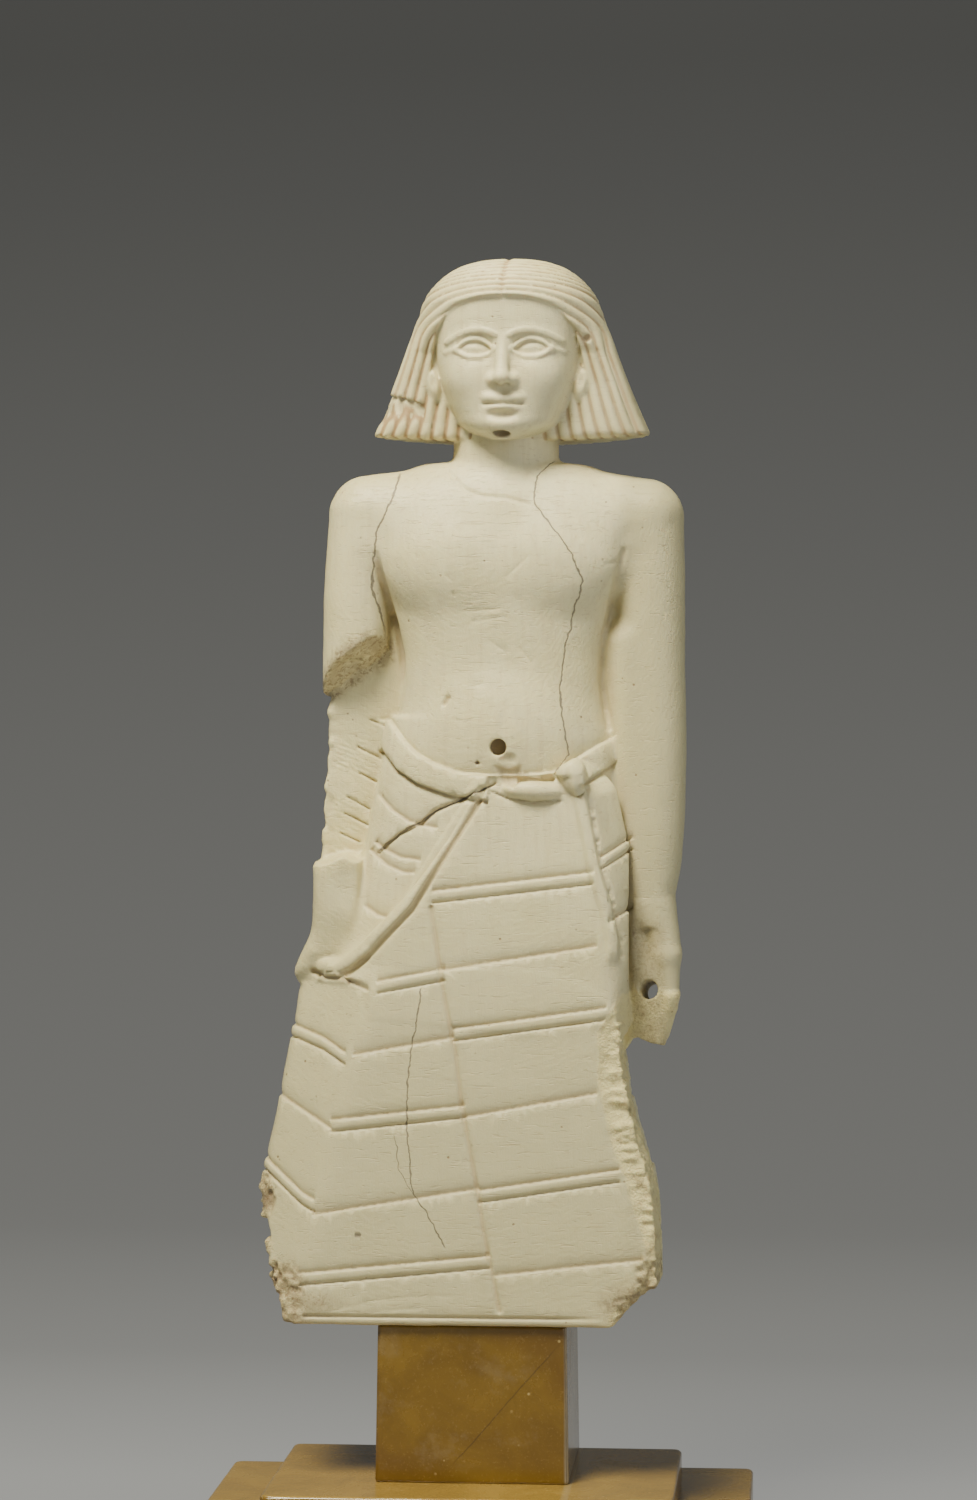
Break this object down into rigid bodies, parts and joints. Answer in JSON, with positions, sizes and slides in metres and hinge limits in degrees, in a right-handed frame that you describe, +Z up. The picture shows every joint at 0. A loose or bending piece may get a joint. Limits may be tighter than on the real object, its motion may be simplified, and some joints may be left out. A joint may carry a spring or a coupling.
{
  "type": "carved ivory statuette of a standing man on a stone stand",
  "caption": "Carved ivory figure of a standing man in a ribbed wig and long wrapped kilt, on a square post over stepped stone slabs.",
  "frame": {"origin": "middle of the underside of the stand's lower slab", "axes": "+Z up; the figure faces -Y; +X is towards the figure's own left arm, the whole one"},
  "size_m": [0.087, 0.067, 0.2055],
  "materials": {
    "ivory": "old polished ivory, cream-white, satin, with hairline cracks, fine growth lines and yellow-brown stains at the breaks",
    "golden_stone": "polished golden-brown veined marble"
  },
  "bodies": {
    "root": {"ivory_figure": "ivory", "stand_post": "golden_stone", "stand_upper_slab": "golden_stone", "stand_lower_slab": "golden_stone"}
  },
  "joints": []
}
